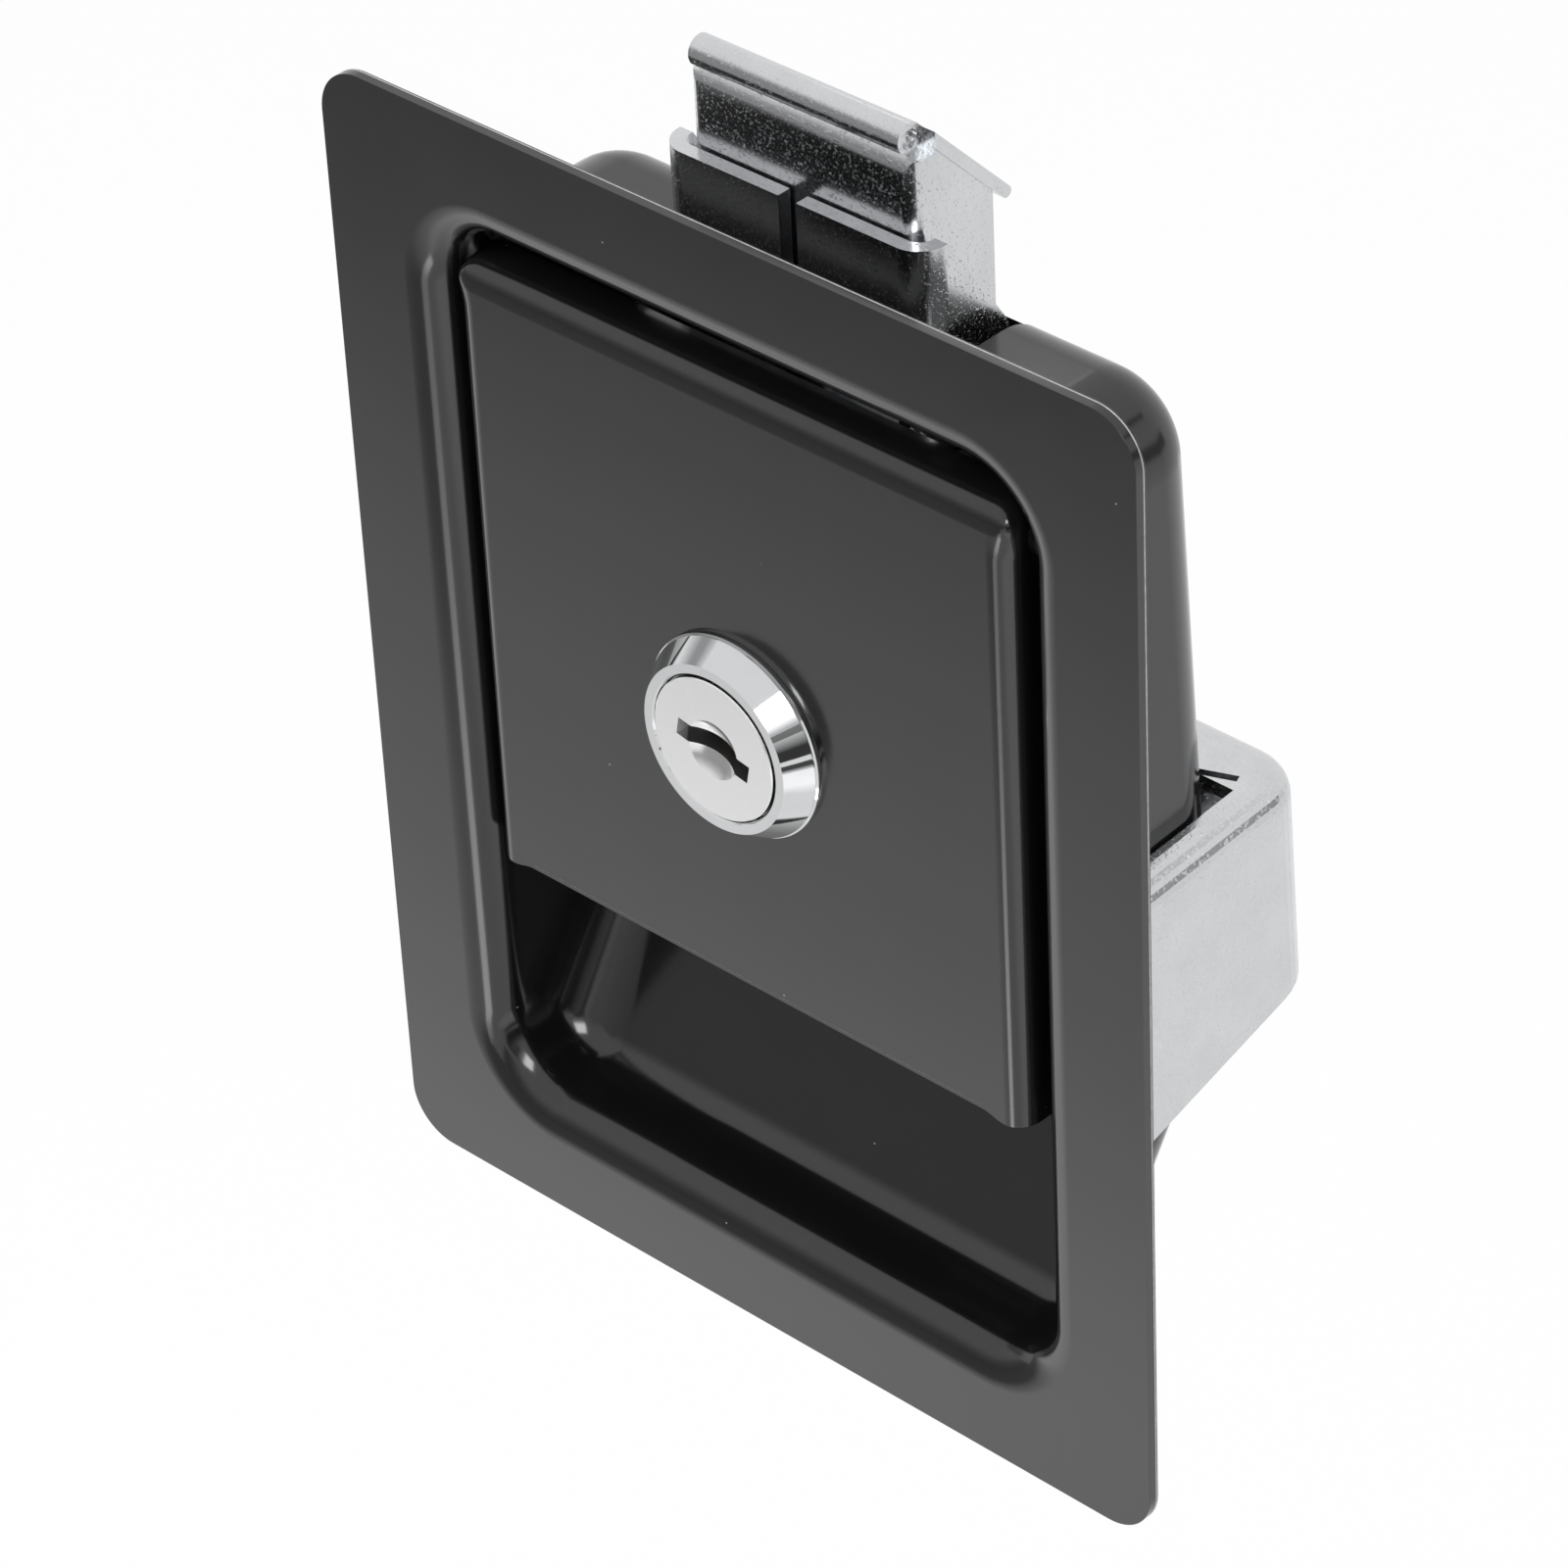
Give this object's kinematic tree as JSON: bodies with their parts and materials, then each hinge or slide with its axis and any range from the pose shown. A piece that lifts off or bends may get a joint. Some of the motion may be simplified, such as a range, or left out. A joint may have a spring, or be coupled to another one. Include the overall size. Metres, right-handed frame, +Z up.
{
  "type": "recessed handle lock",
  "caption": "Flush paddle handle in a pressed black pan, with key lock, spring-loaded slam bolt and rear clamp bracket, for a cabinet or toolbox door.",
  "frame": {"origin": "middle of the back face of the flange, on the face that lies on the door skin", "axes": "+Y into the door, +Z up, X to the right seen from the front; the handle faces -Y"},
  "size_m": [0.0952, 0.0444, 0.1302],
  "materials": {
    "black_paint": "semi-gloss",
    "zinc_sheet": "bright zinc plate on pressed sheet steel",
    "zinc_hardware": "zinc plate on turned and cold-headed steel",
    "spring_wire": "drawn spring wire",
    "bright_chrome": "polished",
    "satin_nickel": "satin",
    "wafer_brass": "stamped",
    "nylon": "matte"
  },
  "bodies": {
    "housing": {"pan": "black_paint", "bolt_guide": "zinc_sheet", "guide_rivets": "zinc_hardware", "hinge_pin": "zinc_hardware", "hinge_clips": "zinc_hardware", "clamp_bracket": "zinc_sheet", "clamp_studs": "zinc_hardware", "clamp_washers": "zinc_hardware", "clamp_nuts": "zinc_hardware", "lock_keeper": "zinc_sheet", "keeper_rivets": "zinc_hardware", "bolt_spring": "spring_wire"},
    "handle": {"paddle": "black_paint", "paddle_lever": "zinc_sheet", "hinge_bushes": "nylon", "lock_body": "bright_chrome", "lock_washer": "zinc_hardware", "lock_nut": "zinc_hardware"},
    "key_plug": {"lock_plug": "satin_nickel", "lock_wafers": "wafer_brass", "lock_cam": "zinc_hardware", "cam_washer": "zinc_hardware", "cam_screw": "zinc_hardware"},
    "bolt": {"latch_bolt": "zinc_sheet", "bolt_pins": "zinc_hardware"}
  },
  "joints": [
    {"name": "handle_swing", "type": "hinge", "parent": "housing", "child": "handle", "pos_m": [0, 0.0052, 0.041], "axis": [-1, 0, 0], "range_deg": [0, 30]},
    {"name": "bolt_slide", "type": "slide", "parent": "housing", "child": "bolt", "axis": [0, 0, -1], "range_m": [0, 0.0066], "stiffness_N_per_m": 300, "springref_m": -0.01, "deforming": ["bolt_spring"]},
    {"name": "lock_turn", "type": "hinge", "parent": "handle", "child": "key_plug", "pos_m": [0, 0, 0.0083], "axis": [0, 1, 0], "range_deg": [0, 90]}
  ],
  "couplings": [
    {"joint": "bolt_slide", "follows": "handle_swing", "m_per_rad": 0.0126}
  ]
}
